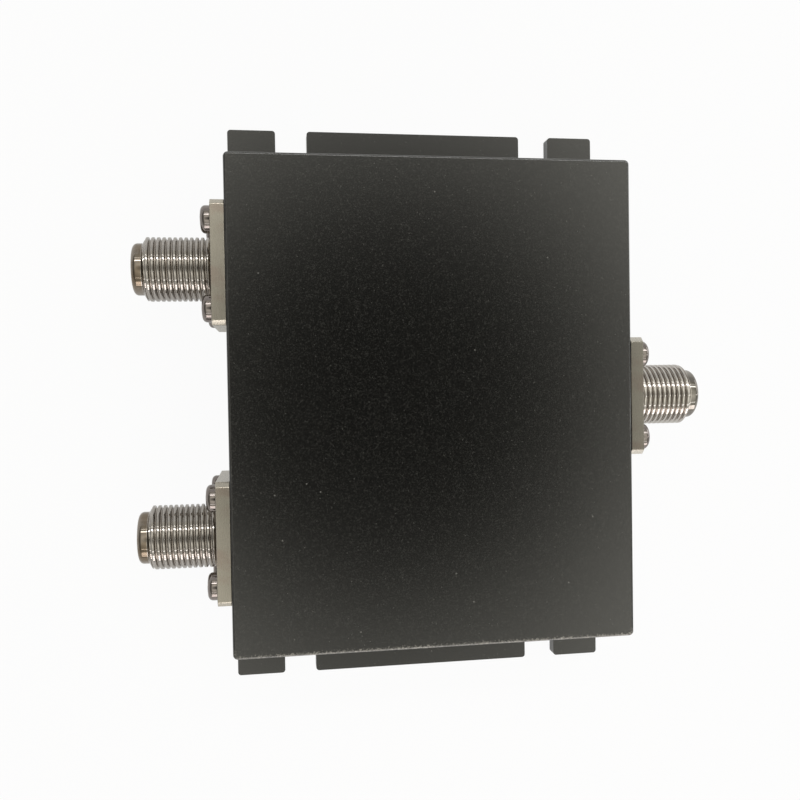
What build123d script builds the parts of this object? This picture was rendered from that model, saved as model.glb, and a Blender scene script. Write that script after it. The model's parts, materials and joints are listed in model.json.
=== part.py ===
from build123d import *
import os
from math import radians, tan

# Two-way coaxial splitter: a flat metal box with one threaded jack on one side and two on the other.
# Units are millimetres. The origin is the centre of the mounting plane, on the underside of the box.
# +X points to the input jack, +Y along the ears' width, and +Z to the plain top face.

# Housing
HOUSING_X = 60.0
HOUSING_Y = 72.0
HOUSING_Z = 18.0
CORNER_RADIUS = 0.7
TOP_EDGE_RADIUS = 0.35
JACK_WALL = 3.5
LONG_WALL = 3.0
TOP_WALL = 3.0
POCKET_CORNER = 1.5

# Mounting ears, one along each long wall, cut by two open slots
EAR_REACH = 7.5
EAR_THICK = 2.0
SLOT_WIDTH = 5.0
SLOT_X = 20.0
SLOT_SEAT = 4.1
TAB_CORNER = 0.5

# Bottom cover, let into the underside a little below flush
COVER_THICK = 1.2
COVER_SINK = 0.1
COVER_RIM = 1.4
COVER_GAP = 0.1
BOSS_RADIUS = 2.6
BOSS_BITE = 0.5
COVER_BOSSES = [(x, y) for x in (-24.5, 24.5) for y in (-31.0, -10.0, 10.0, 31.0)]
COVER_BOSSES += [(0.0, -31.0), (0.0, 31.0)]

# Jacks, threaded 3/8 inch at 32 turns to the inch
JACK_SHIFT_Y = 0.5
OUTPUT_SPACING = 40.0
AXIS_Z = HOUSING_Z / 2
FLANGE_SIDE = 17.8
FLANGE_THICK = 2.0
FLANGE_CORNER = 0.7
FLANGE_HOLE_SPACING = 12.7
THREAD_RADIUS = 9.525 / 2
THREAD_PITCH = 25.4 / 32
THREAD_TURNS = 12
THREAD_DEPTH = 0.6134 * THREAD_PITCH
THREAD_CREST = THREAD_PITCH / 8
FLANK_ANGLE = 30.0
THREAD_RELIEF = 0.3
LEAD_RIDGE = 0.25
NOSE_RADIUS = 3.85
NOSE_LENGTH = 1.5
NOSE_ROUND = 0.7
JACK_REACH = 11.7

# Steps of the jack's bore, each as (radius, distance of its front end from the housing wall)
REAR_BORE = (2.6, 3.2)
MAIN_BORE = (3.0, 11.4)
FRONT_BORE = (3.3, 13.2)
MOUTH_RADIUS = 2.9

# Insulators and centre contact
INSULATOR_GAP = 0.02
REAR_DISC_THICK = 2.0
CONTACT_SEAT = 0.8
CONTACT_GAP = 0.02
PIN_RADIUS = 0.5
PIN_REACH = 7.5
SOCKET_RADIUS = 1.0
SOCKET_BORE = 0.51
SOCKET_DEPTH = 6.2
SOCKET_TIP = 12.2
SOCKET_SLIT = 0.25
SOCKET_SLIT_LENGTH = 4.0
ENTRY_RADIUS = 0.7
ENTRY_MOUTH = 1.5
ENTRY_DEPTH = 0.7
TIP_RECESS = 1.05
TIP_CLEARANCE = 0.05

# M2 screws
SCREW_RADIUS = 1.0
SCREW_GAP = 0.02
CLEARANCE_HOLE = 1.15
PAN_RADIUS = 2.0
PAN_HEIGHT = 1.5
PAN_SIDE = 0.7
PAN_SHOULDER = (1.24, 1.4)
SINK_RADIUS = 1.9
FLANGE_SCREW = 5.0
COVER_SCREW = 5.0
BOARD_SCREW = 4.0
RECESS_LONG = 2.1
RECESS_WIDE = 0.5
RECESS_DEEP = 0.9
RECESS_FLOOR_LONG = 0.95
RECESS_FLOOR_WIDE = 0.35
RECESS_FIRST_TURN = 20.0
RECESS_NEXT_TURN = 35.0
HOLE_SPARE = 0.3

# Circuit board: copper on both sides of a glass-fibre sheet, lines facing the cover
BOARD_THICK = 1.0
COPPER = 0.07
SOLDER_FILM = 0.08
BOARD_GAP = 0.2
NOTCH_GAP = 0.4
LEDGE = 2.0
BOARD_SCREWS = [(x, y) for x in (-18.0, 18.0) for y in (-25.0, 25.0)]

# Power divider: two quarter-wave pairs of arms in a row, with a chip resistor across the end of each
LINE_WIDE = 0.9
FIRST_ARM_WIDE = 0.4
SECOND_ARM_WIDE = 0.6
SPLIT_X = 15.0
ARM_LENGTH_X = 14.0
ARM_BULGE = 8.0
ARM_END_Y = 0.75
LINE_TURN_X = 16.5
LINE_BEND = 3.0
PAD_END_X = 25.8
PIN_PAD = (3.4, 2.4)
CHIP_PAD = (1.4, 0.9)
CHIP = (1.25, 2.0, 0.5)
CHIP_CAP = 0.3
CHIP_FILLET = 0.35
CHIP_FILLET_WIDE = 1.05
PIN_SOLDER_BASE = (3.0, 2.0)
PIN_SOLDER_TOP = (2.6, 1.1)
PIN_SOLDER_DROP = 0.3
PIN_SOLDER_BACK = 2.0

# Worked out from the values above
HALF_X = HOUSING_X / 2
HALF_Y = HOUSING_Y / 2
JACKS = {
    "input": (1, JACK_SHIFT_Y),
    "output_1": (-1, JACK_SHIFT_Y + OUTPUT_SPACING / 2),
    "output_2": (-1, JACK_SHIFT_Y - OUTPUT_SPACING / 2),
}
POCKET_X = HALF_X - JACK_WALL
POCKET_Y = HALF_Y - LONG_WALL
POCKET_TOP = HOUSING_Z - TOP_WALL
COVER_LOW = COVER_SINK
COVER_HIGH = COVER_SINK + COVER_THICK
TRACE_LOW = AXIS_Z + PIN_RADIUS + SOLDER_FILM
BOARD_LOW = TRACE_LOW + COPPER
BOARD_HIGH = BOARD_LOW + BOARD_THICK
GROUND_HIGH = BOARD_HIGH + COPPER
THREAD_END = FLANGE_THICK + JACK_REACH - NOSE_LENGTH
JACK_TIP = FLANGE_THICK + JACK_REACH
CONTACT_BACK = REAR_BORE[1] + REAR_DISC_THICK - CONTACT_SEAT


def block(size_x, size_y, low, high, x=0.0, y=0.0):
    """An upright box between two heights, centred on x and y."""
    return Pos(x, y, (low + high) / 2) * Box(size_x, size_y, high - low)


def post(radius, low, high, x=0.0, y=0.0):
    """An upright cylinder between two heights."""
    return Pos(x, y, (low + high) / 2) * Cylinder(radius, high - low)


def slab(outline, low, high):
    """A flat outline raised to a plate between two heights."""
    return Pos(0, 0, low) * extrude(outline, high - low)


def along_x(solid):
    """Turn a solid that was drawn standing on +Z so that it points along +X."""
    return Rot(0, 90, 0) * solid


def rod(radius, start, end):
    """A cylinder along X between two stations of a jack."""
    return along_x(post(radius, start, end))


def grouped(name, solids):
    """Separate solids under one name."""
    return Compound(label=name, children=[Part(s.wrapped) for s in solids])


def turned(points):
    """Revolve an outline of (radius, height) points about Z."""
    return revolve(make_face(Polyline(*points, close=True).rotate(Axis.X, 90)), Axis.Z)


def at_jack(shape, name):
    """Move a shape from a jack's own place, flange back at the origin and nose to +X, to its wall."""
    side, y = JACKS[name]
    turn = 0 if side > 0 else 180
    return Pos(side * HALF_X, y, AXIS_Z) * Rot(0, 0, turn) * shape


def flange_holes():
    """The four screw places on a jack's flange, as (y, z) from its axis."""
    half = FLANGE_HOLE_SPACING / 2
    return [(y, z) for y in (-half, half) for z in (-half, half)]


def boss_plan(x, y, radius):
    """Outline of a screw boss that runs into each wall beside it."""
    plan = Pos(x, y) * Circle(radius)
    wall_x = (POCKET_X + BOSS_BITE) * (1 if x > 0 else -1)
    wall_y = (POCKET_Y + BOSS_BITE) * (1 if y > 0 else -1)
    by_jack_wall = abs(x) > POCKET_X - 2 * radius
    by_long_wall = abs(y) > POCKET_Y - 2 * radius
    if by_jack_wall:
        plan += Pos((x + wall_x) / 2, y) * Rectangle(abs(wall_x - x), 2 * radius)
    if by_long_wall:
        plan += Pos(x, (y + wall_y) / 2) * Rectangle(2 * radius, abs(wall_y - y))
    if by_jack_wall and by_long_wall:
        plan += Pos((x + wall_x) / 2, (y + wall_y) / 2) * Rectangle(abs(wall_x - x), abs(wall_y - y))
    return plan


def ear_plate():
    """The thin plate that forms both ears, with its open slots and rounded tab corners."""
    tip = HALF_Y + EAR_REACH
    seat = HALF_Y + SLOT_SEAT
    plan = Rectangle(HOUSING_X, 2 * tip)
    for x in (-SLOT_X, SLOT_X):
        for way in (-1, 1):
            plan -= Pos(x, way * seat) * Circle(SLOT_WIDTH / 2)
            plan -= Pos(x, way * (seat + EAR_REACH / 2)) * Rectangle(SLOT_WIDTH, EAR_REACH)
    corners = [v for v in plan.vertices() if abs(abs(v.Y) - tip) < 0.01]
    return slab(fillet(corners, TAB_CORNER), 0, EAR_THICK)


def housing():
    """Box, ears, board ledge and screw bosses, milled from one piece and open underneath."""
    body = block(HOUSING_X, HOUSING_Y, 0, HOUSING_Z)
    body = fillet(body.edges().filter_by(Axis.Z), CORNER_RADIUS)
    body = fillet(body.faces().sort_by(Axis.Z)[-1].edges(), TOP_EDGE_RADIUS)
    body += ear_plate()

    rebate_x = HOUSING_X - 2 * COVER_RIM
    rebate_y = HOUSING_Y - 2 * COVER_RIM
    body -= slab(RectangleRounded(rebate_x, rebate_y, CORNER_RADIUS), 0, COVER_HIGH)
    pocket = RectangleRounded(2 * POCKET_X, 2 * POCKET_Y, POCKET_CORNER)
    relief = RectangleRounded(2 * (POCKET_X - LEDGE), 2 * (POCKET_Y - LEDGE), POCKET_CORNER)
    room = slab(pocket, COVER_HIGH, GROUND_HIGH)
    room += slab(relief, GROUND_HIGH, POCKET_TOP)
    for x, y in COVER_BOSSES:
        room -= slab(boss_plan(x, y, BOSS_RADIUS), COVER_HIGH, POCKET_TOP)
    for x, y in BOARD_SCREWS:
        room -= post(BOSS_RADIUS, GROUND_HIGH, POCKET_TOP, x, y)
    body -= room

    for x, y in COVER_BOSSES:
        body -= post(SCREW_RADIUS, COVER_HIGH, COVER_LOW + COVER_SCREW + HOLE_SPARE, x, y)
    for x, y in BOARD_SCREWS:
        body -= post(SCREW_RADIUS, GROUND_HIGH, BOARD_LOW + BOARD_SCREW + HOLE_SPARE, x, y)
    for name in JACKS:
        body -= at_jack(rod(REAR_BORE[0], -JACK_WALL - 1, 1), name)
        for y, z in flange_holes():
            hole = rod(SCREW_RADIUS, FLANGE_THICK - FLANGE_SCREW - HOLE_SPARE, 1)
            body -= at_jack(Pos(0, y, z) * hole, name)
    return body


def bottom_cover():
    """Flat cover with a countersunk hole over each boss."""
    size_x = HOUSING_X - 2 * (COVER_RIM + COVER_GAP)
    size_y = HOUSING_Y - 2 * (COVER_RIM + COVER_GAP)
    cover = slab(RectangleRounded(size_x, size_y, CORNER_RADIUS), COVER_LOW, COVER_HIGH)
    for x, y in COVER_BOSSES:
        cover -= Pos(x, y, COVER_LOW) * countersunk_form(COVER_SCREW, 0.01)
        cover -= post(CLEARANCE_HOLE, COVER_LOW, COVER_HIGH, x, y)
    return cover


def countersunk_form(length, grow=0.0):
    """Outside of a countersunk screw that points up from its flat head."""
    head = SINK_RADIUS + grow
    shank = SCREW_RADIUS - SCREW_GAP + grow
    return turned([(0, 0), (head, 0), (shank, head - shank), (shank, length), (0, length)])


def cross_recess():
    """Cross-shaped drive pocket, open at height 0 and narrowing downwards."""
    mouth = Rectangle(RECESS_LONG, RECESS_WIDE)
    floor = Pos(0, 0, -RECESS_DEEP) * Rectangle(RECESS_FLOOR_LONG, RECESS_FLOOR_WIDE)
    slot = loft([mouth, floor]) + extrude(mouth, PAN_HEIGHT)
    return slot + Rot(0, 0, 90) * slot


def cover_screw(x, y):
    """Countersunk screw, driven upwards into a boss."""
    screw = countersunk_form(COVER_SCREW) - Rot(180, 0, 0) * cross_recess()
    return Pos(x, y, COVER_LOW) * screw


def pan_screw(length):
    """Pan-head screw that stands on Z: the head sits on height 0 and the shank hangs below."""
    radius = SCREW_RADIUS - SCREW_GAP
    middle = Line((0, PAN_HEIGHT), (0, -length))
    foot = Line((0, -length), (radius, -length))
    shank = Line((radius, -length), (radius, 0))
    under = Line((radius, 0), (PAN_RADIUS, 0))
    rim = Line((PAN_RADIUS, 0), (PAN_RADIUS, PAN_SIDE))
    dome = TangentArc((PAN_RADIUS, PAN_SIDE), PAN_SHOULDER, tangent=(0, 1))
    crown = Line(PAN_SHOULDER, (0, PAN_HEIGHT))
    outline = make_face([middle, foot, shank, under, rim, dome, crown])
    screw = revolve(outline.rotate(Axis.X, 90), Axis.Z)
    return screw - Pos(0, 0, PAN_HEIGHT) * cross_recess()


def flange_screws(name):
    """The four screws of one jack, each turned a little differently as they stop."""
    screws = []
    for i, (y, z) in enumerate(flange_holes()):
        turn = RECESS_FIRST_TURN + RECESS_NEXT_TURN * i
        screw = along_x(Rot(0, 0, turn) * pan_screw(FLANGE_SCREW))
        screws.append(at_jack(Pos(FLANGE_THICK, y, z) * screw, name))
    return screws


def board_screw(x, y):
    """Pan-head screw, driven upwards through the board into a boss."""
    return Pos(x, y, BOARD_LOW) * Rot(180, 0, 0) * pan_screw(BOARD_SCREW)


def thread_outline():
    """Half section of the threaded barrel as (radius, height) points, with a ring groove for each turn."""
    low = THREAD_RADIUS - THREAD_DEPTH
    slope = tan(radians(FLANK_ANGLE))
    flank = THREAD_DEPTH * slope
    height = FLANGE_THICK + THREAD_RELIEF
    points = [(0, 0), (low, 0), (low, height)]
    for turn in range(THREAD_TURNS):
        crest_start = height + turn * THREAD_PITCH + flank
        crest_end = crest_start + THREAD_CREST
        points.append((THREAD_RADIUS, crest_start))
        points.append((THREAD_RADIUS, crest_end))
        points.append((low, crest_end + flank))
        points.append((low, height + (turn + 1) * THREAD_PITCH))
    points.append((low + LEAD_RIDGE, points[-1][1] + LEAD_RIDGE * slope))
    points.append((NOSE_RADIUS, THREAD_END))
    points.append((0, THREAD_END))
    return points


def jack_body():
    """Square flange and threaded barrel in one piece, bored in steps from the front."""
    flange = Pos(FLANGE_THICK / 2, 0, 0) * Box(FLANGE_THICK, FLANGE_SIDE, FLANGE_SIDE)
    flange = chamfer(flange.edges().filter_by(Axis.X), FLANGE_CORNER)
    nose = post(NOSE_RADIUS, THREAD_END - 0.5, JACK_TIP)
    nose = fillet(nose.edges().sort_by(Axis.Z)[-1], NOSE_ROUND)
    body = flange + along_x(turned(thread_outline()) + nose)
    body -= rod(REAR_BORE[0], -1, REAR_BORE[1] + 1)
    body -= rod(MAIN_BORE[0], REAR_BORE[1], MAIN_BORE[1] + 1)
    body -= rod(FRONT_BORE[0], MAIN_BORE[1], FRONT_BORE[1])
    body -= rod(MOUTH_RADIUS, FRONT_BORE[1] - 1, JACK_TIP + 1)
    for y, z in flange_holes():
        body -= Pos(0, y, z) * rod(CLEARANCE_HOLE, -1, FLANGE_THICK + 1)
    return body


def rear_insulator():
    """Stub through the housing wall with a disc that seats on the step in the bore."""
    disc_end = REAR_BORE[1] + REAR_DISC_THICK
    shape = rod(REAR_BORE[0] - INSULATOR_GAP, -JACK_WALL, REAR_BORE[1])
    shape += rod(MAIN_BORE[0] - INSULATOR_GAP, REAR_BORE[1], disc_end)
    shape -= rod(PIN_RADIUS + CONTACT_GAP, -JACK_WALL - 1, disc_end)
    return shape - rod(SOCKET_RADIUS + CONTACT_GAP, CONTACT_BACK, disc_end + 1)


def front_insulator():
    """Bush behind the mouth, with a funnel that guides the cable's wire into the contact."""
    shape = rod(FRONT_BORE[0] - INSULATOR_GAP, MAIN_BORE[1], FRONT_BORE[1])
    shape -= rod(TIP_RECESS, MAIN_BORE[1] - 1, SOCKET_TIP + TIP_CLEARANCE)
    shape -= rod(ENTRY_RADIUS, SOCKET_TIP - 1, FRONT_BORE[1] + 1)
    funnel = Cone(ENTRY_RADIUS, ENTRY_MOUTH, ENTRY_DEPTH)
    return shape - along_x(Pos(0, 0, FRONT_BORE[1] - ENTRY_DEPTH / 2) * funnel)


def centre_contact():
    """Solder pin at the rear and a four-fingered spring socket at the front."""
    contact = rod(PIN_RADIUS, -PIN_REACH, CONTACT_BACK)
    contact += rod(SOCKET_RADIUS, CONTACT_BACK, SOCKET_TIP)
    contact -= rod(SOCKET_BORE, SOCKET_TIP - SOCKET_DEPTH, SOCKET_TIP + 1)
    slit_x = SOCKET_TIP - SOCKET_SLIT_LENGTH / 2
    slit = Pos(slit_x + 0.5, 0, 0) * Box(SOCKET_SLIT_LENGTH + 1, SOCKET_SLIT, 2 * SOCKET_RADIUS + 1)
    contact -= slit
    return contact - Rot(90, 0, 0) * slit


def board_plan():
    """Outline of the board, notched around the cover's bosses."""
    plan = Rectangle(2 * (POCKET_X - BOARD_GAP), 2 * (POCKET_Y - BOARD_GAP))
    for x, y in COVER_BOSSES:
        plan -= boss_plan(x, y, BOSS_RADIUS + NOTCH_GAP)
    for x, y in BOARD_SCREWS:
        plan -= Pos(x, y) * Circle(CLEARANCE_HOLE)
    return plan


def half_divider():
    """One half of the divider's lines, above its centre line, with the row of jacks at y = 0."""
    middle_x = SPLIT_X - ARM_LENGTH_X
    end_x = middle_x - ARM_LENGTH_X
    first_top = (SPLIT_X - ARM_LENGTH_X / 2, ARM_BULGE)
    second_top = (middle_x - ARM_LENGTH_X / 2, ARM_BULGE)
    first = ThreePointArc((SPLIT_X, 0), first_top, (middle_x, ARM_END_Y))
    second = ThreePointArc((middle_x, ARM_END_Y), second_top, (end_x, ARM_END_Y))
    output = FilletPolyline(
        (end_x, ARM_END_Y),
        (-LINE_TURN_X, ARM_END_Y),
        (-LINE_TURN_X, OUTPUT_SPACING / 2),
        (-PAD_END_X, OUTPUT_SPACING / 2),
        radius=(LINE_BEND / 2, LINE_BEND),
    )
    plan = trace(first, FIRST_ARM_WIDE) + trace(second, SECOND_ARM_WIDE) + trace(output, LINE_WIDE)
    for x in (middle_x, end_x):
        plan += Pos(x, chip_pad_y()) * Rectangle(*CHIP_PAD)
    return plan + Pos(-PAD_END_X + PIN_PAD[0] / 2, OUTPUT_SPACING / 2) * Rectangle(*PIN_PAD)


def chip_pad_y():
    """Distance of a chip's pad from the divider's centre line."""
    return CHIP[1] / 2 + CHIP_FILLET / 2 - CHIP_CAP / 2


def microstrip_lines():
    """All copper lines on the board's open side, in one connected piece."""
    upper = half_divider()
    lines = upper + mirror(upper, Plane.XZ)
    input_length = PAD_END_X - SPLIT_X
    lines += Pos(SPLIT_X + input_length / 2, 0) * Rectangle(input_length, LINE_WIDE)
    lines += Pos(PAD_END_X - PIN_PAD[0] / 2, 0) * Rectangle(*PIN_PAD)
    return slab(Pos(0, JACK_SHIFT_Y) * lines, TRACE_LOW, BOARD_LOW)


def chip_places():
    """The two chip resistors' centres across the ends of the arms."""
    return [(SPLIT_X - n * ARM_LENGTH_X, JACK_SHIFT_Y) for n in (1, 2)]


def chip_body(x, y):
    """Ceramic block of a chip resistor, lying on the lines."""
    wide, long, thick = CHIP
    return block(wide, long - 2 * CHIP_CAP, TRACE_LOW - thick, TRACE_LOW, x, y)


def chip_caps(x, y):
    """The two metal ends of a chip resistor."""
    wide, long, thick = CHIP
    low = TRACE_LOW - thick
    offset = (long - CHIP_CAP) / 2
    return [block(wide, CHIP_CAP, low, TRACE_LOW, x, y + way * offset) for way in (-1, 1)]


def chip_solder(x, y):
    """A wedge of solder against each end of a chip."""
    long = CHIP[1]
    profile = Polyline((0, 0), (CHIP_FILLET, 0), (0, -CHIP_FILLET), close=True)
    outline = make_face(profile.rotate(Axis.X, 90).rotate(Axis.Z, 90))
    wedge = extrude(outline, CHIP_FILLET_WIDE / 2, both=True)
    return [Pos(x, y, TRACE_LOW) * Rot(0, 0, turn) * Pos(0, long / 2, 0) * wedge for turn in (0, 180)]


def pin_solder(name):
    """A mound of solder that fixes a contact's pin to its line."""
    base = Pos(0, 0, PIN_RADIUS + SOLDER_FILM) * Rectangle(*PIN_SOLDER_BASE)
    top = Pos(0, 0, -PIN_SOLDER_DROP) * Rectangle(*PIN_SOLDER_TOP)
    mound = loft([top, base]) - rod(PIN_RADIUS, -PIN_REACH, PIN_REACH)
    return at_jack(Pos(PIN_SOLDER_BACK - PIN_REACH, 0, 0) * mound, name)


def solder_joints():
    """Every joint on the board."""
    joints = [pin_solder(name) for name in JACKS]
    for x, y in chip_places():
        joints += chip_solder(x, y)
    return joints


def all_parts():
    """Every part by its name, as a list of its separate solids."""
    parts = {
        "housing": [housing()],
        "bottom_cover": [bottom_cover()],
        "cover_screws": [cover_screw(x, y) for x, y in COVER_BOSSES],
        "circuit_board": [slab(board_plan(), BOARD_LOW, BOARD_HIGH)],
        "ground_plane": [slab(board_plan(), BOARD_HIGH, GROUND_HIGH)],
        "microstrip_lines": [microstrip_lines()],
        "resistor_chips": [chip_body(x, y) for x, y in chip_places()],
        "resistor_caps": [cap for x, y in chip_places() for cap in chip_caps(x, y)],
        "solder_joints": solder_joints(),
        "board_screws": [board_screw(x, y) for x, y in BOARD_SCREWS],
    }
    for name in JACKS:
        parts["jack_body_" + name] = [at_jack(jack_body(), name)]
        parts["front_insulator_" + name] = [at_jack(front_insulator(), name)]
        parts["rear_insulator_" + name] = [at_jack(rear_insulator(), name)]
        parts["centre_contact_" + name] = [at_jack(centre_contact(), name)]
        parts["flange_screws_" + name] = flange_screws(name)
    return parts


def write_parts():
    """Write one STEP file for each part."""
    os.makedirs("parts", exist_ok=True)
    for name, solids in all_parts().items():
        shape = solids[0] if len(solids) == 1 else grouped(name, solids)
        export_step(shape, "parts/" + name + ".step")


write_parts()
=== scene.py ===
"""Dresses a two-way coaxial splitter: painted housing, threaded nickel jacks, screws, board and stage."""

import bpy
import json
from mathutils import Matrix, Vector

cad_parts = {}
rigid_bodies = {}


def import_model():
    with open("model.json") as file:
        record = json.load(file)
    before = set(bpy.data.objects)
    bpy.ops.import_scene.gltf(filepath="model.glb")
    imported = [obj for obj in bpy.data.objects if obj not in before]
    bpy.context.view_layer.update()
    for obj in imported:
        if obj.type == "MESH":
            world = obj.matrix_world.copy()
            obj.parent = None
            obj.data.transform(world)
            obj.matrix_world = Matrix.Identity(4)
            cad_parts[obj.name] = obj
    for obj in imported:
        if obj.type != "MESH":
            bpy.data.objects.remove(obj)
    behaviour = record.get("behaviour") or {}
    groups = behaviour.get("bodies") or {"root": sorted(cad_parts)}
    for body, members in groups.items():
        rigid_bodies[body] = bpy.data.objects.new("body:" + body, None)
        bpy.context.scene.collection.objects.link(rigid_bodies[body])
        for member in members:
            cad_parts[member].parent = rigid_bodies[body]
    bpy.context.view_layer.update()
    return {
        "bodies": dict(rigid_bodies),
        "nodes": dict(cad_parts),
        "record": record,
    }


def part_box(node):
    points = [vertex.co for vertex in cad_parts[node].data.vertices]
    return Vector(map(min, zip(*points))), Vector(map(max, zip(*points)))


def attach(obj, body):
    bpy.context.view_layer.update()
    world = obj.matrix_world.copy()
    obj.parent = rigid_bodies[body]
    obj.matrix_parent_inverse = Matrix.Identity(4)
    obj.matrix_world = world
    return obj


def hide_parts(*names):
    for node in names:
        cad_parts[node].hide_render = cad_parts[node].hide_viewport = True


bl_info = {
    "name": "Coaxial Splitter",
    "version": (1, 0, 0),
    "blender": (4, 5, 0),
    "location": "3D View > Sidebar > Splitter",
    "description": "Paints the housing, cuts the jacks' threads, drives the screws and sets the stage",
    "category": "Object",
}

import json
from math import cos, pi, radians, sin, sqrt

import bmesh
import bpy
from bpy.props import FloatProperty, FloatVectorProperty, IntProperty, PointerProperty
from bpy.types import NodeSocket, Operator, Panel, PropertyGroup
from mathutils import Matrix, Vector

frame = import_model()

# Lengths are metres. A jack's own axis is X, which starts at the housing's wall.
MM = 0.001
BODY = next(iter(frame["bodies"]))
MOUNTS = {mount["name"]: mount for mount in frame["record"]["mounts"]}
JACKS = [name.removesuffix("_thread") for name in MOUNTS if name.endswith("_thread")]
WELD = 0.0001 * MM
SHARP = radians(40)

# A Mix node's sockets for colours
MIX_INPUTS = (6, 7)
MIX_OUTPUT = 2

# Housing
HOUSING_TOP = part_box("housing")[1]
EAR_REACH = 7.5 * MM
EAR_THICK = 2.0 * MM
WALL_X = HOUSING_TOP.x
WALL_Y = HOUSING_TOP.y - EAR_REACH
EDGE_BAND = 0.55 * MM

# Jacks
JACK_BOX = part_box("jack_body_input")
JACK_TIP = JACK_BOX[1].x - WALL_X
FLANGE_HALF = (JACK_BOX[1].y - JACK_BOX[0].y) / 2
FLANGE_THICK = 2.0 * MM
FLANGE_CHAMFER = 0.7 * MM
FLANGE_CORNER_SOFT = 0.12 * MM
FLANGE_EDGE_SOFT = 0.1 * MM
FLANGE_HOLE = 1.15 * MM
FLANGE_HOLE_OFFSET = 6.35 * MM
NOSE_LENGTH = 1.5 * MM
NOSE_RADIUS = 3.85 * MM
NOSE_ROUND = 0.7 * MM
THREAD_END = JACK_TIP - NOSE_LENGTH
RUN_OUT_SLOPE = 1.5
LEAD_SLOPE = 1.7
LIP_CHAMFER = 0.12 * MM
MOUTH_RADIUS = 2.9 * MM
FRONT_BORE = (3.3 * MM, 13.2 * MM)
MAIN_BORE = (3.0 * MM, 11.4 * MM)
REAR_BORE = (2.6 * MM, 3.2 * MM)
JACK_ROUGHNESS = 0.07
GROOVE_DULLNESS = 0.17
FLANGE_DULLNESS = 0.20

# Thread profile: where the root's flat ends and the crest begins, as shares of a turn, and its crown
THREAD_ROOT = 0.09
THREAD_CREST = 0.27
THREAD_CROWN = 0.01

# Screws
SCREW_THREAD_PITCH = 0.4 * MM
SCREW_THREAD_DEPTH = 0.22 * MM
SCREW_RADIUS = 0.98 * MM
SCREW_PLAIN = 0.25 * MM
PAN_SIDE = 0.7 * MM
PAN_CROWN = 0.1 * MM
RECESS_ARM = 0.24
RECESS_FLOOR = 0.45
SINK_RADIUS = 1.9 * MM
SINK_RIM = 0.06 * MM
FLANGE_SCREW = 5.0 * MM
COVER_SCREW = 5.0 * MM
BOARD_SCREW = 4.0 * MM
COVER_SCREW_ROW = 10.0 * MM

# How finely the round shapes are divided
HOLE_COLUMNS = 24
SCREW_COLUMNS = 48
SCREW_ROWS = 8
NOSE_STEPS = 8
CROWN_STEPS = 9
CORNER_STEPS = 3
FLOOR_COLUMNS = 64
FLOOR_STEPS = 8

# Colours of dust, stains and wear; the thread roots' colour is also painted shade, the noses' also a
# painted reflection, and the input's chamfer colour a painted highlight
DUST = (0.30, 0.30, 0.28)
# Thread-root colour: grime, and painted shade in the grooves
ROOT_GRIME_AND_SHADE = (0.16, 0.12, 0.08)
STAIN_TINT = (0.86, 0.72, 0.72)
# Nose colours: wear, and a painted reflection of dim brown surroundings
BROWN_NOSE_WEAR_AND_REFLECTION = (0.19, 0.145, 0.10)
GREY_NOSE_WEAR_AND_REFLECTION = (0.19, 0.176, 0.155)
# The input's chamfer colour is a painted highlight
INPUT_CHAMFER_HIGHLIGHT = (0.66, 0.63, 0.57)

# Surroundings: the direction that the top face's middle mirrors to the camera, and their brightness
# by degrees from there and by how far a direction leans along X
MIRRORED_WAY = (0.133, -0.014, 1.0)
BY_DEGREES = (
    (90, 0.50), (60, 0.52), (40, 0.62), (30, 0.80), (25, 0.96), (21.5, 0.92),
    (18, 0.60), (15, 0.34), (13, 0.14), (11.5, 0.05), (9.5, 0.0),
)
BY_LEAN = (
    (-0.8, 0.26), (-0.45, 0.36), (-0.2, 0.8), (-0.1, 1.0), (-0.06, 0.72),
    (0.12, 0.72), (0.31, 0.78), (0.44, 1.05), (0.58, 0.48), (0.9, 0.34),
)
SURROUNDINGS_LEVEL = 1.4
SURROUNDINGS_TINT = (1.0, 0.977, 0.875)

# Lamps
LAMP_TARGET = (0.0, 0.0, 0.012)
WINDOW_BARS = 3
WINDOW_TINT = (1.0, 0.93, 0.90)

# Floor, whose far rim curves up into a wall
FLOOR_RINGS = (0.05, 0.6, 3.0)
FLOOR_BEND = 1.0
FLOOR_WALL = 1.8
FLOOR_DROP = 0.05 * MM


class SplitterPaint(PropertyGroup):
    """The housing's paint."""

    colour: FloatVectorProperty(
        name="Paint", description="Colour of the paint", subtype="COLOR", size=3, min=0, max=1,
        default=(0.0015, 0.0015, 0.0012),
    )
    # Edge colour: rubbed-through paint, and a painted highlight
    worn_and_highlight: FloatVectorProperty(
        name="Rubbed and Lit Edge", description="Colour where the paint has rubbed through, lightened also as a painted highlight", subtype="COLOR", size=3,
        min=0, max=1, default=(0.33, 0.315, 0.285),
    )
    grain: FloatProperty(
        name="Grain", description="Width of the paint's fine texture", subtype="DISTANCE", unit="LENGTH",
        default=0.26 * MM, min=0.05 * MM, max=2 * MM, precision=5,
    )
    relief: FloatProperty(
        name="Relief", description="Height of the paint's fine texture", subtype="DISTANCE", unit="LENGTH",
        default=0.0026 * MM, min=0, max=0.1 * MM, precision=6,
    )
    gloss: FloatProperty(
        name="Roughness", description="How matt the faces are", subtype="FACTOR",
        default=0.19, min=0, max=1,
    )
    wall_gloss: FloatProperty(
        name="Wall Roughness", description="How matt the walls are, over their coarser milling",
        subtype="FACTOR", default=0.32, min=0, max=1,
    )


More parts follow.
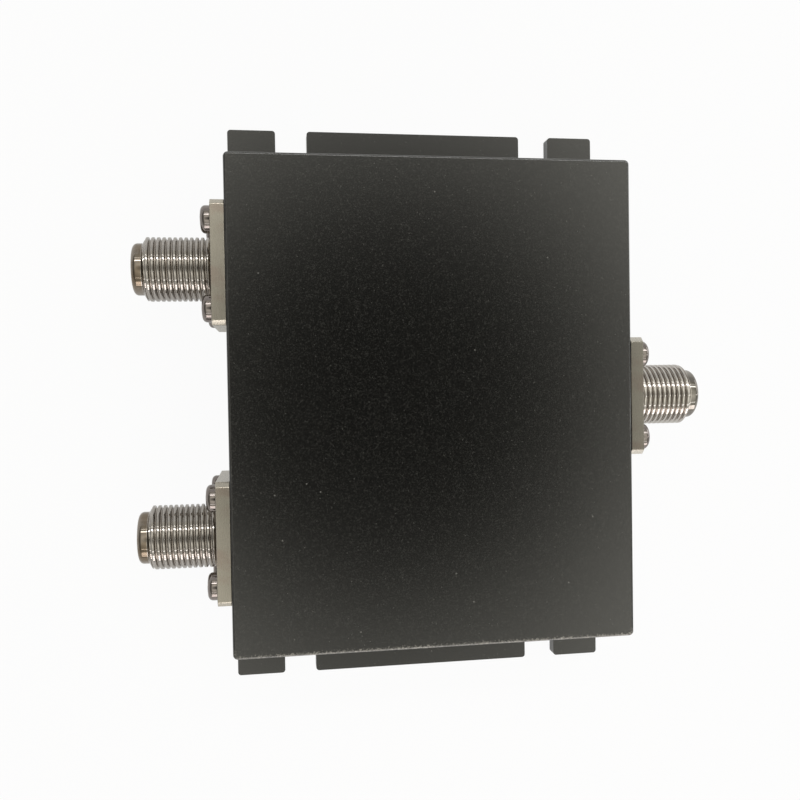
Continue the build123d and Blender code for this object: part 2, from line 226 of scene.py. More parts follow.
class SplitterMetal(PropertyGroup):
    """The plated and bare metals."""

    nickel: FloatVectorProperty(
        name="Nickel", description="Colour of the jacks' plating", subtype="COLOR", size=3, min=0, max=1,
        default=(0.56, 0.524, 0.453),
    )
    screw: FloatVectorProperty(
        name="Screw Plating", description="Colour of the flange screws", subtype="COLOR", size=3,
        min=0, max=1, default=(0.27, 0.242, 0.228),
    )
    dark_screw: FloatVectorProperty(
        name="Dark Screw", description="Colour of the cover screws", subtype="COLOR", size=3, min=0, max=1,
        default=(0.05, 0.05, 0.052),
    )
    # The input's flange colour is a darker copy of the plating: painted shade
    input_flange_shade: FloatVectorProperty(
        name="Input Flange", description="Colour of the plating on the input's flange, darkened as painted shade",
        subtype="COLOR", size=3, min=0, max=1, default=(0.33, 0.312, 0.273),
    )
    barrel: FloatVectorProperty(
        name="Barrels", description="Colour of the plating on the outputs' threads",
        subtype="COLOR", size=3, min=0, max=1, default=(0.46, 0.433, 0.405),
    )
    # The input's barrel colour is a brighter copy of the plating: painted light
    input_barrel_lit: FloatVectorProperty(
        name="Input Barrel", description="Colour of the plating on the input's thread",
        subtype="COLOR", size=3, min=0, max=1, default=(0.58, 0.548, 0.515),
    )
    contact: FloatVectorProperty(
        name="Contact", description="Colour of the centre contacts", subtype="COLOR", size=3, min=0, max=1,
        default=(0.86, 0.66, 0.32),
    )
    copper: FloatVectorProperty(
        name="Copper", description="Colour of the board's copper", subtype="COLOR", size=3, min=0, max=1,
        default=(0.82, 0.45, 0.28),
    )


class SplitterThread(PropertyGroup):
    """The thread on each jack."""

    pitch: FloatProperty(
        name="Pitch", description="Distance from crest to crest", subtype="DISTANCE", unit="LENGTH",
        default=25.4 * MM / 32, min=0.2 * MM, max=2 * MM, precision=6,
    )
    radius: FloatProperty(
        name="Crest Radius", description="Half of the outside diameter", subtype="DISTANCE", unit="LENGTH",
        default=MOUNTS["input_thread"]["dims"]["r_mm"] * MM, min=1 * MM, max=10 * MM, precision=6,
    )
    depth: FloatProperty(
        name="Depth", description="Depth of the thread as a share of its pitch", subtype="FACTOR",
        default=0.52, min=0.2, max=0.65,
    )
    relief: FloatProperty(
        name="Relief", description="Plain length beside the flange", subtype="DISTANCE", unit="LENGTH",
        default=0.3 * MM, min=0, max=2 * MM, precision=5,
    )
    columns: IntProperty(
        name="Columns", description="Faces around the barrel", default=96, min=24, max=256
    )
    rows: IntProperty(name="Rows", description="Faces along one turn's profile", default=12, min=8, max=32)


class SplitterScrew(PropertyGroup):
    """The screws' heads."""

    pan_radius: FloatProperty(
        name="Head Radius", description="Half of a pan head's width", subtype="DISTANCE", unit="LENGTH",
        default=2.0 * MM, min=1 * MM, max=4 * MM, precision=5,
    )
    pan_height: FloatProperty(
        name="Head Height", description="Height of a pan head", subtype="DISTANCE", unit="LENGTH",
        default=1.5 * MM, min=0.5 * MM, max=3 * MM, precision=5,
    )
    recess: FloatProperty(
        name="Recess", description="Length of the drive cross", subtype="DISTANCE", unit="LENGTH",
        default=2.1 * MM, min=0.5 * MM, max=3 * MM, precision=5,
    )
    depth: FloatProperty(
        name="Recess Depth", description="Depth of the drive cross", subtype="DISTANCE", unit="LENGTH",
        default=0.9 * MM, min=0.2 * MM, max=1.2 * MM, precision=5,
    )
    first_turn: FloatProperty(
        name="First Turn", description="Turn of a jack's first screw", subtype="ANGLE", unit="ROTATION",
        default=radians(20),
    )
    next_turn: FloatProperty(
        name="Next Turn", description="How much further each next screw is turned", subtype="ANGLE",
        unit="ROTATION", default=radians(35),
    )


class SplitterStage(PropertyGroup):
    """Floor, lamps and camera."""

    floor: FloatVectorProperty(
        name="Floor", description="Colour of the floor", subtype="COLOR", size=3, min=0, max=1,
        default=(0.78, 0.78, 0.77),
    )
    floor_glow: FloatProperty(
        name="Floor White", description="Share of plain white in the floor where the camera sees it",
        subtype="FACTOR", default=0.95, min=0, max=1,
    )
    mirrored_white: FloatProperty(
        name="Mirrored White", description="Share of that white where shiny surfaces mirror it",
        subtype="FACTOR", default=0.5, min=0, max=1,
    )
    window: FloatProperty(name="Window", description="Brightness of the low bars", default=3.2, min=0)
    side: FloatProperty(
        name="Side Light", description="Brightness of the light by the input", default=1.2, min=0
    )
    strip: FloatProperty(name="Strip", description="Brightness of the narrow strips", default=2.8, min=0)
    lens: FloatProperty(
        name="Lens", description="Focal length in millimetres", default=39.0, min=10, max=200
    )
    distance: FloatProperty(
        name="Distance", description="Camera's distance from the top face", subtype="DISTANCE",
        unit="LENGTH", default=126.66 * MM, min=0.05, max=1, precision=5,
    )
    slide: FloatVectorProperty(
        name="Slide", description="How far the face's middle lies right of and above the picture's middle",
        subtype="XYZ", unit="LENGTH", size=2, default=(5.374 * MM, -0.4545 * MM), precision=6,
    )
    tilt: FloatVectorProperty(
        name="Tilt", description="How the housing is turned about the picture's X, Y and Z",
        subtype="EULER", size=3, default=(0.0226, 0.1476, 0.0163), precision=4,
    )


class Nodes:
    """A tree of shader nodes, with short calls that add to it."""

    def __init__(self, tree):
        self.tree = tree

    def feed(self, socket, value):
        """Link a socket to another one, or set its value."""
        if isinstance(value, NodeSocket):
            self.tree.links.new(value, socket)
        else:
            socket.default_value = (*value, 1.0) if socket.type == "RGBA" and len(value) == 3 else value

    def add(self, kind, inputs=None, **settings):
        """A new shader node with its settings and inputs."""
        node = self.tree.nodes.new("ShaderNode" + kind)
        for key, value in settings.items():
            setattr(node, key, value)
        for key, value in (inputs or {}).items():
            self.feed(node.inputs[key], value)
        return node

    def math(self, operation, *values):
        """One sum on numbers."""
        return self.add("Math", dict(enumerate(values)), operation=operation).outputs[0]

    def product(self, first, *others):
        """Numbers multiplied together."""
        for other in others:
            first = self.math("MULTIPLY", first, other)
        return first


class Finish(Nodes):
    """One procedural material."""

    def __init__(self, name, sockets):
        self.material = bpy.data.materials.new(name)
        self.material.use_nodes = True
        super().__init__(self.material.node_tree)
        self.shader = self.tree.nodes["Principled BSDF"]
        self.coordinates = self.add("TexCoord").outputs["Object"]
        for key, value in sockets.items():
            self.feed(self.shader.inputs[key], value)

    def apart(self):
        """The X, Y and Z of the place being shaded."""
        return self.add("SeparateXYZ", {0: self.coordinates}).outputs

    def stretched(self, lengths, turn, shift):
        """Coordinates with the given lengths as their units, turned about Z and moved on."""
        scale = [1 / length for length in lengths]
        inputs = {"Vector": self.coordinates, "Angle": turn}
        turned = self.add("VectorRotate", inputs, rotation_type="Z_AXIS").outputs[0]
        sized = self.add("Mapping", {"Vector": turned, "Scale": scale}).outputs[0]
        return self.add("VectorMath", {0: sized, 1: (shift,) * 3}, operation="ADD").outputs[0]

    def noise(self, lengths, detail=2.0, turn=0.0, shift=0.0):
        """Cloudy values around a half, with blotches of the given lengths."""
        place = self.stretched(lengths, turn, shift)
        return self.add("TexNoise", {"Vector": place, "Scale": 1.0, "Detail": detail}).outputs[0]

    def dots(self, spacing, radius, shift=0.0):
        """One in each dot of about this radius, where dots lie this far apart in space."""
        place = self.stretched((spacing,) * 3, 0.0, shift)
        near = self.add("TexVoronoi", {"Vector": place, "Scale": 1.0}).outputs["Distance"]
        return self.ramp(near, radius / spacing, 0.4 * radius / spacing)

    def ramp(self, value, low, high, start=0.0, end=1.0):
        """A soft step from start at low to end at high."""
        inputs = {"Value": value, "From Min": low, "From Max": high, "To Min": start, "To Max": end}
        return self.add("MapRange", inputs, interpolation_type="SMOOTHSTEP").outputs[0]

    def mix(self, factor, first, second):
        """One colour over another."""
        node = self.add("Mix", data_type="RGBA")
        self.feed(node.inputs["Factor"], factor)
        for index, colour in zip(MIX_INPUTS, (first, second)):
            self.feed(node.inputs[index], colour)
        return node.outputs[MIX_OUTPUT]

    def bump(self, height, depth, below=None):
        """Relief of the given depth, on top of another one."""
        node = self.add("Bump", {"Height": height, "Distance": depth})
        if below is not None:
            self.feed(node.inputs["Normal"], below)
        return node.outputs[0]

    def colour(self, value):
        self.feed(self.shader.inputs["Base Color"], value)

    def roughness(self, value):
        self.feed(self.shader.inputs["Roughness"], value)

    def normal(self, value):
        self.feed(self.shader.inputs["Normal"], value)


def scaled(colour, factor):
    """A colour made lighter or darker."""
    return tuple(min(1.0, part * factor) for part in colour)


def hairlines(finish, length, width, turn, shift):
    """Sparse thin scratches along one direction."""
    streaks = finish.noise((length, width, width), detail=1.0, turn=turn, shift=shift)
    return finish.ramp(streaks, 0.70, 0.76)


def edge_wear_and_highlight(finish):
    """Where the paint is thin and a painted highlight lies: the rounded edge of the top face, most of all
    along the -Y side.
    """
    x, y, z = finish.apart()
    past_x = finish.math("SUBTRACT", finish.math("ABSOLUTE", x), WALL_X - EDGE_BAND)
    past_y = finish.math("SUBTRACT", finish.math("ABSOLUTE", y), WALL_Y - EDGE_BAND)
    past = finish.math("MAXIMUM", past_x, past_y)
    ragged = finish.noise((0.3 * MM,) * 3, detail=3.0, shift=6.0)
    past = finish.math("ADD", past, finish.ramp(ragged, 0.3, 0.7, -0.4 * EDGE_BAND, 0.5 * EDGE_BAND))
    near_side = finish.ramp(past, 0.0, 0.5 * EDGE_BAND)
    near_top = finish.ramp(z, HOUSING_TOP.z - 1.9 * EDGE_BAND, HOUSING_TOP.z - 1.0 * EDGE_BAND)
    front = finish.ramp(y, -WALL_Y + 3 * EDGE_BAND, -WALL_Y + EDGE_BAND, 0.02, 1.0)
    rubbed = finish.ramp(finish.noise((1.6 * MM, 1.6 * MM, 0.6 * MM), detail=5.0), 0.30, 0.62, 0.4, 1.0)
    fine = finish.ramp(finish.noise((0.22 * MM,) * 3, detail=2.0, shift=4.0), 0.38, 0.6, 0.3, 1.0)
    return finish.product(near_side, near_top, front, rubbed, fine)


def scuffs(finish):
    """Faint dull patches, broken up into short strokes."""
    patch = finish.ramp(finish.noise((11 * MM,) * 3, detail=1.0, shift=3.0), 0.5, 0.68)
    strokes = finish.noise((0.5 * MM, 1.4 * MM, 0.8 * MM), detail=5.0, turn=0.5)
    return finish.product(patch, finish.ramp(strokes, 0.56, 0.72), 0.5)


def hairs(finish):
    """Hair scratches in three directions, here and there."""
    lines = hairlines(finish, 5 * MM, 0.09 * MM, radians(52), 1.0)
    for turn, shift in ((-38, 7.0), (97, 13.0)):
        lines = finish.math("MAXIMUM", lines, hairlines(finish, 4 * MM, 0.08 * MM, radians(turn), shift))
    rare = finish.ramp(finish.noise((14 * MM,) * 3, detail=1.0, shift=9.0), 0.45, 0.6)
    return finish.product(lines, rare, 0.7)


def black_paint(name, paint, with_edges):
    """Black paint with fine grain, dust and scratches; the housing's has rubbed edges that also carry a
    painted highlight, and duller walls.
    """
    finish = Finish(name, {"Specular IOR Level": 0.45, "IOR": 2.0, "Roughness": paint.gloss})
    cloud = finish.noise((7 * MM,) * 3, detail=3.0)
    colour = finish.mix(cloud, scaled(paint.colour, 0.9), scaled(paint.colour, 1.12))
    salt = finish.ramp(finish.noise((0.65 * paint.grain,) * 3, detail=1.0, shift=2.0), 0.50, 0.74)
    colour = finish.mix(finish.product(salt, 0.11), colour, DUST)
    colour = finish.mix(scuffs(finish), colour, scaled(paint.colour, 9.0))
    colour = finish.mix(hairs(finish), colour, scaled(paint.colour, 15.0))
    dust = finish.product(finish.dots(0.95 * MM, 0.09 * MM), 0.35)
    fleck = finish.product(finish.dots(3.6 * MM, 0.17 * MM, shift=5.0), 0.55)
    colour = finish.mix(finish.math("MAXIMUM", dust, fleck), colour, DUST)
    if with_edges:
        # Rubbed edges, lightened also as a painted highlight along the -Y side
        colour = finish.mix(finish.product(edge_wear_and_highlight(finish), 0.8), colour, paint.worn_and_highlight)
        height = finish.apart()[2]
        below_top = finish.ramp(height, HOUSING_TOP.z - EDGE_BAND, HOUSING_TOP.z - 2 * EDGE_BAND)
        wall = finish.product(below_top, finish.ramp(height, EAR_THICK, EAR_THICK + EDGE_BAND))
        finish.roughness(finish.ramp(wall, 0.0, 1.0, paint.gloss, paint.wall_gloss))
    finish.colour(colour)
    finish.normal(finish.bump(finish.noise((paint.grain,) * 3, detail=3.0), paint.relief))
    return finish.material


def plate_tone(finish):
    """The slow change in a plating's tone."""
    return finish.noise((2.5 * MM,) * 3, detail=3.0)


def plate_colour(finish, colour):
    """Plating with a cloudy tone, reddish stains and small pits."""
    plate = finish.mix(plate_tone(finish), scaled(colour, 0.9), scaled(colour, 1.06))
    patches = finish.noise((5 * MM, 3 * MM, 5 * MM), detail=3.0, shift=8.0)
    stain = finish.ramp(patches, 0.52, 0.72, 0.0, 0.5)
    plate = finish.mix(stain, plate, tuple(part * tint for part, tint in zip(colour, STAIN_TINT)))
    pits = finish.product(finish.dots(0.9 * MM, 0.06 * MM), 0.6)
    return finish.mix(pits, plate, scaled(colour, 0.35))


def plate_gloss(finish, roughness):
    """Relief and gloss of turned metal under its plating: fine rings and lengthwise scratches."""
    marks = finish.noise((0.035 * MM, 3 * MM, 3 * MM), detail=2.0)
    scratches = finish.noise((2.5 * MM, 0.06 * MM, 0.06 * MM), detail=2.0, shift=4.0)
    finish.normal(finish.bump(scratches, 0.0002 * MM, finish.bump(marks, 0.0003 * MM)))
    return finish.ramp(marks, 0.3, 0.7, roughness - 0.02, roughness + 0.03)


def nickel(name, colour, roughness):
    """Bright plating on a screw."""
    finish = Finish(name, {"Metallic": 1.0})
    finish.colour(plate_colour(finish, colour))
    finish.roughness(plate_gloss(finish, roughness))
    return finish.material


def jack_nickel(name, thread, flange, rim, barrel, nose):
    """A jack's plating: satin flange with chamfers in the rim colour (a painted highlight on the input),
    bright barrel, thread roots darkened by grime and painted shade, and a nose darkened by wear and a
    painted reflection.
    """
    finish = Finish(name, {"Metallic": 1.0})
    tone = plate_tone(finish)
    x, y, z = finish.apart()
    squares = [finish.math("POWER", part, 2.0) for part in (y, z)]
    reach = finish.math("SQRT", finish.math("ADD", *squares))
    root = thread.radius - thread.depth * thread.pitch
    aside = finish.math("ABSOLUTE", y)
    chamfer = finish.ramp(aside, FLANGE_HALF - FLANGE_CHAMFER, FLANGE_HALF - 0.8 * FLANGE_CHAMFER)
    outer = finish.ramp(x, FLANGE_THICK, FLANGE_THICK + 0.1 * MM)
    beyond = finish.ramp(x, THREAD_END, THREAD_END + 0.1 * MM)
    # The nose's darker colour: wear, and a painted reflection of dim brown surroundings
    nose_wear_and_reflection = finish.product(beyond, finish.ramp(tone, 0.3, 0.6, 0.55, 0.9))
    before_nose = finish.ramp(x, THREAD_END - 0.5 * MM, THREAD_END - 0.9 * MM)
    outside = finish.ramp(reach, NOSE_RADIUS + 0.1 * MM, NOSE_RADIUS + 0.2 * MM)
    threaded = finish.product(before_nose, outside)
    # The deep thread roots are darkened: grime, and painted shade in the grooves
    deep = finish.ramp(reach, root + 0.18 * MM, root - 0.02 * MM)
    root_grime_and_shade = finish.product(deep, threaded, finish.ramp(tone, 0.2, 0.7, 0.1, 0.5))
    # On the input the rim colour is a painted highlight on the chamfers
    plate = finish.mix(chamfer, plate_colour(finish, flange), rim)
    plate = finish.mix(outer, plate, barrel)
    plate = finish.mix(nose_wear_and_reflection, plate, nose)
    finish.colour(finish.mix(root_grime_and_shade, plate, ROOT_GRIME_AND_SHADE))

    groove = finish.product(finish.ramp(reach, thread.radius - 0.06 * MM, root + 0.06 * MM), threaded)
    dulled = finish.product(groove, GROOVE_DULLNESS)
    satin = finish.ramp(x, FLANGE_THICK + 0.1 * MM, FLANGE_THICK, 0.0, FLANGE_DULLNESS)
    gloss = plate_gloss(finish, JACK_ROUGHNESS)
    finish.roughness(finish.math("ADD", finish.math("ADD", gloss, dulled), satin))
    return finish.material


def dark_plate(name, colour):
    """Black zinc on a screw, rubbed bright on its high spots."""
    finish = Finish(name, {"Metallic": 1.0})
    tone = finish.noise((0.4 * MM,) * 3, detail=4.0)
    finish.colour(finish.mix(finish.ramp(tone, 0.55, 0.75), colour, scaled(colour, 5.0)))
    finish.roughness(finish.ramp(tone, 0.3, 0.7, 0.34, 0.48))
    finish.normal(finish.bump(tone, 0.002 * MM))
    return finish.material


def white_plastic(name):
    """Milky insulator with faint turned rings."""
    finish = Finish(name, {"Roughness": 0.42, "Subsurface Weight": 0.25, "Subsurface Scale": 0.6 * MM})
    tone = finish.noise((1.2 * MM,) * 3, detail=3.0)
    finish.colour(finish.mix(tone, (0.74, 0.73, 0.68), (0.84, 0.83, 0.79)))
    finish.normal(finish.bump(finish.noise((0.05 * MM, 2 * MM, 2 * MM)), 0.002 * MM))
    return finish.material


def soft_metal(name, colour, tarnish, roughness, grain):
    """Gold, copper or solder: a clean tone with patches of tarnish and a fine surface."""
    finish = Finish(name, {"Metallic": 1.0})
    patch = finish.ramp(finish.noise((3 * MM,) * 3, detail=4.0), 0.45, 0.72)
    finish.colour(finish.mix(finish.product(patch, 0.6), colour, tarnish))
    surface = finish.noise(grain, detail=3.0)
    finish.roughness(finish.ramp(surface, 0.3, 0.7, roughness - 0.06, roughness + 0.08))
    finish.normal(finish.bump(surface, 0.003 * MM))
    return finish.material


def laminate(name):
    """Bare glass-fibre sheet, with its weave just showing."""
    finish = Finish(name, {"Roughness": 0.38, "Coat Weight": 0.3})
    warp = finish.noise((6 * MM, 0.28 * MM, 6 * MM))
    weft = finish.noise((0.28 * MM, 6 * MM, 6 * MM), shift=2.0)
    weave = finish.ramp(finish.math("MAXIMUM", warp, weft), 0.45, 0.7)
    finish.colour(finish.mix(weave, (0.24, 0.27, 0.11), (0.38, 0.40, 0.20)))
    finish.normal(finish.bump(weave, 0.006 * MM))
    return finish.material


def chip_glaze(name):
    """Dark glaze on a chip resistor."""
    finish = Finish(name, {"Roughness": 0.25, "Coat Weight": 0.4})
    tone = finish.noise((0.15 * MM,) * 3, detail=3.0)
    finish.colour(finish.mix(tone, (0.022, 0.022, 0.025), (0.05, 0.05, 0.055)))
    finish.normal(finish.bump(tone, 0.003 * MM))
    return finish.material


def paint_nodes(material, slot, *names):
    """Give carried-over solids their finish."""
    for name in names:
        solid = frame["nodes"][name]
        solid.data.materials.clear()
        solid.data.materials.append(material)


def kept(name, shape):
    """A finished shape as a mesh."""
    mesh = bpy.data.meshes.new(name)
    shape.to_mesh(mesh)
    shape.free()
    return mesh


def new_mesh(name, shape, material):
    """Weld a finished shape, check that it is closed, and keep it as a mesh."""
    bmesh.ops.remove_doubles(shape, verts=shape.verts, dist=WELD)
    bmesh.ops.dissolve_degenerate(shape, dist=WELD, edges=shape.edges)
    bmesh.ops.recalc_face_normals(shape, faces=shape.faces)
    open_edges = sum(1 for edge in shape.edges if not edge.is_manifold)
    mesh = kept(name, shape)
    if open_edges:
        raise RuntimeError(f"{name} has {open_edges} open edges")
    mesh.materials.append(material)
    return mesh


def smoothed(mesh):
    """A mesh with smooth shading that keeps creases."""
    mesh.shade_smooth()
    mesh.set_sharp_from_angle(angle=SHARP)
    return mesh


def new_object(name, data):
    """An object in the scene for a mesh, a lamp or a camera."""
    item = bpy.data.objects.new(name, data)
    bpy.context.scene.collection.objects.link(item)
    return item


def new_piece(name, mesh, slot, place, *nodes):
    """Put a mesh where it belongs, on the body, in place of its solids."""
    piece = new_object(name, mesh)
    piece.matrix_world = place
    weighted = piece.modifiers.new("Flat faces", "WEIGHTED_NORMAL")
    weighted.keep_sharp = True
    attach(piece, BODY)
    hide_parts(*nodes)
    return piece


def jack_place(name):
    """The jack's own place: flange back on the wall, nose outwards along X."""
    mount = MOUNTS[name + "_thread"]
    side = mount["axis"][0]
    corner = Vector((side * WALL_X, mount["pos_m"][1], mount["pos_m"][2]))
    return Matrix.Translation(corner) @ Matrix.Rotation(0 if side > 0 else pi, 4, "Z")


def circle(radius, station, columns, y=0.0, z=0.0):
    """Points of a ring about X."""
    angles = [2 * pi * column / columns for column in range(columns)]
    return [Vector((station, y + radius * cos(angle), z + radius * sin(angle))) for angle in angles]


def skin(shape, rings):
    """Join closed rings of equal length by faces."""
    rows = [[shape.verts.new(point) for point in ring] for ring in rings]
    for low, high in zip(rows, rows[1:]):
        for i in range(len(low)):
            j = (i + 1) % len(low)
            shape.faces.new((low[i], low[j], high[j], high[i]))
    return rows


def cap(shape, loops):
    """Fill the flat area inside the first loop of points, and outside the others."""
    edges = []
    for loop in loops:
        row = [shape.verts.new(point) for point in loop]
        edges += [shape.edges.new((row[i - 1], row[i])) for i in range(len(row))]
    bmesh.ops.triangle_fill(shape, edges=edges, use_beauty=True)


def turns(shape, height_at, radius_at, pitch, start, end, columns, rows):
    """A right-hand screw surface from start to end, whose rows follow the helix and stop square."""
    step = pitch / rows
    last = round((end - start) / step) + rows + 1
    grid = {}
    for row in range(-rows, last + rows + 1):
        height = height_at((row % rows) / rows)
        for column in range(columns):
            station = start + (row + rows * column / columns) * step
            station = max(start, min(end, station))
            angle = 2 * pi * column / columns
            radius = radius_at(station, height)
            grid[row, column] = shape.verts.new((station, radius * cos(angle), radius * sin(angle)))
    for row in range(-rows, last):
        for column in range(columns):
            ahead = (row, column + 1) if column + 1 < columns else (row + rows, 0)
            corners = [grid[row, column], grid[ahead], grid[ahead[0] + 1, ahead[1]], grid[row + 1, column]]
            shape.faces.new(corners)


def thread_height(phase):
    """Height of the thread, from 0 at the root to 1 at the crest, at a share of one turn."""
    rise = (0.5 - abs(phase - 0.5) - THREAD_ROOT) / (THREAD_CREST - THREAD_ROOT)
    rise = max(0.0, min(1.0, rise))
    crown = THREAD_CROWN * (1 - ((phase - 0.5) / (0.5 - THREAD_CREST)) ** 2)
    return (1 - THREAD_CROWN) * rise + max(0.0, crown)


def chamfered_square(half, chamfer, inset, soft, station):
    """Corners of the flange's outline, drawn in by an inset, each with a little rounding."""
    side = half - inset
    short = half - chamfer - inset * (sqrt(2) - 1)
    corners = []
    for quarter in range(4):
        turn = Matrix.Rotation(quarter * pi / 2, 2)
        corners += [turn @ Vector((side, -short)), turn @ Vector((side, short))]
    points = []
    for i, corner in enumerate(corners):
        before = (corners[i - 1] - corner).normalized() * soft
        after = (corners[(i + 1) % len(corners)] - corner).normalized() * soft
        points += [corner + before, corner + (before + after) / 4, corner + after]
    return [Vector((station, point.x, point.y)) for point in points]


def flange_rings():
    """The flange's side, from its back edge to its front edge, with both edges eased."""
    rings = []
    for face, way in ((0.0, 1), (FLANGE_THICK, -1)):
        edge = []
        for step in range(CORNER_STEPS + 1):
            angle = step * pi / (2 * CORNER_STEPS)
            station = face + way * FLANGE_EDGE_SOFT * (1 - cos(angle))
            inset = FLANGE_EDGE_SOFT * (1 - sin(angle))
            edge.append(chamfered_square(FLANGE_HALF, FLANGE_CHAMFER, inset, FLANGE_CORNER_SOFT, station))
        rings += edge[::way]
    return rings


def flange_holes():
    """The four screw places, as (y, z) from the jack's axis."""
    offset = FLANGE_HOLE_OFFSET
    return [(y, z) for y in (-offset, offset) for z in (-offset, offset)]


def nose_and_bore():
    """Outline of the nose and stepped bore, as (radius, station), from the thread to the flange's back."""
    points = [(NOSE_RADIUS, THREAD_END)]
    centre = JACK_TIP - NOSE_ROUND
    for step in range(NOSE_STEPS + 1):
        angle = step * pi / 2 / NOSE_STEPS
        radius = NOSE_RADIUS - NOSE_ROUND * (1 - cos(angle))
        points.append((radius, centre + NOSE_ROUND * sin(angle)))
    points.append((MOUTH_RADIUS + LIP_CHAMFER, JACK_TIP))
    points.append((MOUTH_RADIUS, JACK_TIP - LIP_CHAMFER))
    points.append((MOUTH_RADIUS, FRONT_BORE[1]))
    points.append(FRONT_BORE)
    points.append((FRONT_BORE[0], MAIN_BORE[1]))
    points.append(MAIN_BORE)
    points.append((MAIN_BORE[0], REAR_BORE[1]))
    points.append(REAR_BORE)
    points.append((REAR_BORE[0], 0.0))
    return points


def jack_mesh(name, thread, material):
    """Flange, threaded barrel, nose and bore as one closed surface."""
    columns = thread.columns
    depth = thread.depth * thread.pitch
    root = thread.radius - depth
    relief_end = FLANGE_THICK + thread.relief

    def radius_at(station, height):
        run_out = root + max(0.0, station - relief_end) * RUN_OUT_SLOPE
        lead = NOSE_RADIUS + (THREAD_END - station) * LEAD_SLOPE
        return min(root + depth * height, run_out, lead)

    shape = bmesh.new()
    turns(shape, thread_height, radius_at, thread.pitch, FLANGE_THICK, THREAD_END, columns, thread.rows)
    skin(shape, [circle(radius, station, columns) for radius, station in nose_and_bore()])
    side = flange_rings()
    skin(shape, side)
    for station, middle, outline in ((0.0, REAR_BORE[0], side[0]), (FLANGE_THICK, root, side[-1])):
        holes = [circle(FLANGE_HOLE, station, HOLE_COLUMNS, y, z) for y, z in flange_holes()]
        cap(shape, [outline, circle(middle, station, columns), *holes])
    for y, z in flange_holes():
        skin(shape, [circle(FLANGE_HOLE, station, HOLE_COLUMNS, y, z) for station in (0.0, FLANGE_THICK)])
    return smoothed(new_mesh(name, shape, material))


def cross(length, width, soft, height):
    """A drive cross at one height, with its four inner corners rounded."""
    half, side = length / 2, width / 2
    points = []
    for quarter in range(4):
        turn = Matrix.Rotation(quarter * pi / 2, 2)
        points += [turn @ Vector((half, -side)), turn @ Vector((half, side))]
        for step in range(CORNER_STEPS + 1):
            angle = step * pi / (2 * CORNER_STEPS)
            inner = Vector((side + soft * (1 - sin(angle)), side + soft * (1 - cos(angle))))
            points.append(turn @ inner)
    return [Vector((point.x, point.y, height)) for point in points]


def recess_cutter(screw, top):
    """The tapered cross that is cut out of a head whose top is at a height."""
    mouth = RECESS_ARM * screw.recess
    ease = 0.05 * MM
    soft = 0.12 * MM
    levels = [
        (screw.recess * 0.2, mouth * 0.5, -screw.depth - 0.06 * MM),
        (screw.recess * RECESS_FLOOR, mouth * 0.7, -screw.depth),
        (screw.recess, mouth, -ease),
        (screw.recess + 2 * ease, mouth + 2 * ease, 0.0),
        (screw.recess + 12 * ease, mouth + 12 * ease, 5 * ease),
    ]
    shape = bmesh.new()
    rows = skin(shape, [cross(length, width, soft, top + height) for length, width, height in levels])
    shape.faces.new(rows[0])
    shape.faces.new(rows[-1])
    bmesh.ops.recalc_face_normals(shape, faces=shape.faces)
    return kept("recess cutter", shape)


def carved(mesh, cutter):
    """One closed mesh with another taken out of it."""
    body = new_object("carved", mesh)
    tool = new_object("cutter", cutter)
    cut = body.modifiers.new("Recess", "BOOLEAN")
    cut.operation = "DIFFERENCE"
    cut.solver = "EXACT"
    cut.object = tool
    result = bpy.data.meshes.new_from_object(body.evaluated_get(bpy.context.evaluated_depsgraph_get()))
    result.name = mesh.name
    for item in (body, tool):
        bpy.data.objects.remove(item)
    bpy.data.meshes.remove(cutter)
    return result


def upright(points, columns):
    """Rings about Z from an outline of (radius, height) points."""
    angles = [2 * pi * column / columns for column in range(columns)]
    return [[Vector((r * cos(a), r * sin(a), height)) for a in angles] for r, height in points]


def shank(shape, tip, neck):
    """A threaded shank between two heights, with a pointed end at the tip."""
    root = SCREW_RADIUS - SCREW_THREAD_DEPTH
    length = abs(neck - tip)

    def radius_at(station, height):
        lead = root + station
        run_out = root + max(0.0, length - SCREW_PLAIN - station)
        return min(root + SCREW_THREAD_DEPTH * height, lead, run_out)

    part = bmesh.new()
    turns(part, thread_height, radius_at, SCREW_THREAD_PITCH, 0.0, length, SCREW_COLUMNS, SCREW_ROWS)
    way = 1 if neck > tip else -1
    stand = Matrix.Rotation(-way * pi / 2, 4, "Y")
    part.transform(Matrix.Translation((0, 0, tip)) @ stand)
    joined = kept("shank", part)
    shape.from_mesh(joined)
    bpy.data.meshes.remove(joined)
    ring = upright([(root, tip)], SCREW_COLUMNS)[0]
    shape.faces.new([shape.verts.new(point) for point in ring])


def pan_screw_mesh(name, screw, length, material):
    """A pan-head screw that stands on Z: head from height 0 up, shank below."""
    root = SCREW_RADIUS - SCREW_THREAD_DEPTH
    rim = 0.08 * MM
    wide = screw.pan_radius
    crown = screw.pan_height - PAN_CROWN
    points = [(root, 0.0), (wide - rim, 0.0), (wide, rim), (wide, PAN_SIDE)]
    reach = 0.38 * wide
    for step in range(1, CROWN_STEPS + 1):
        angle = step * pi / 2 / CROWN_STEPS
        radius = wide - reach * (1 - cos(angle))
        points.append((radius, PAN_SIDE + (crown - PAN_SIDE) * sin(angle)))
    points.append((0.4 * wide, screw.pan_height - 0.3 * PAN_CROWN))
    points.append((0.1 * wide, screw.pan_height))
    shape = bmesh.new()
    rows = skin(shape, upright(points, SCREW_COLUMNS))
    shape.faces.new(rows[-1])
    shank(shape, -length, 0.0)
    mesh = new_mesh(name, shape, material)
    return smoothed(carved(mesh, recess_cutter(screw, screw.pan_height - 0.3 * PAN_CROWN)))


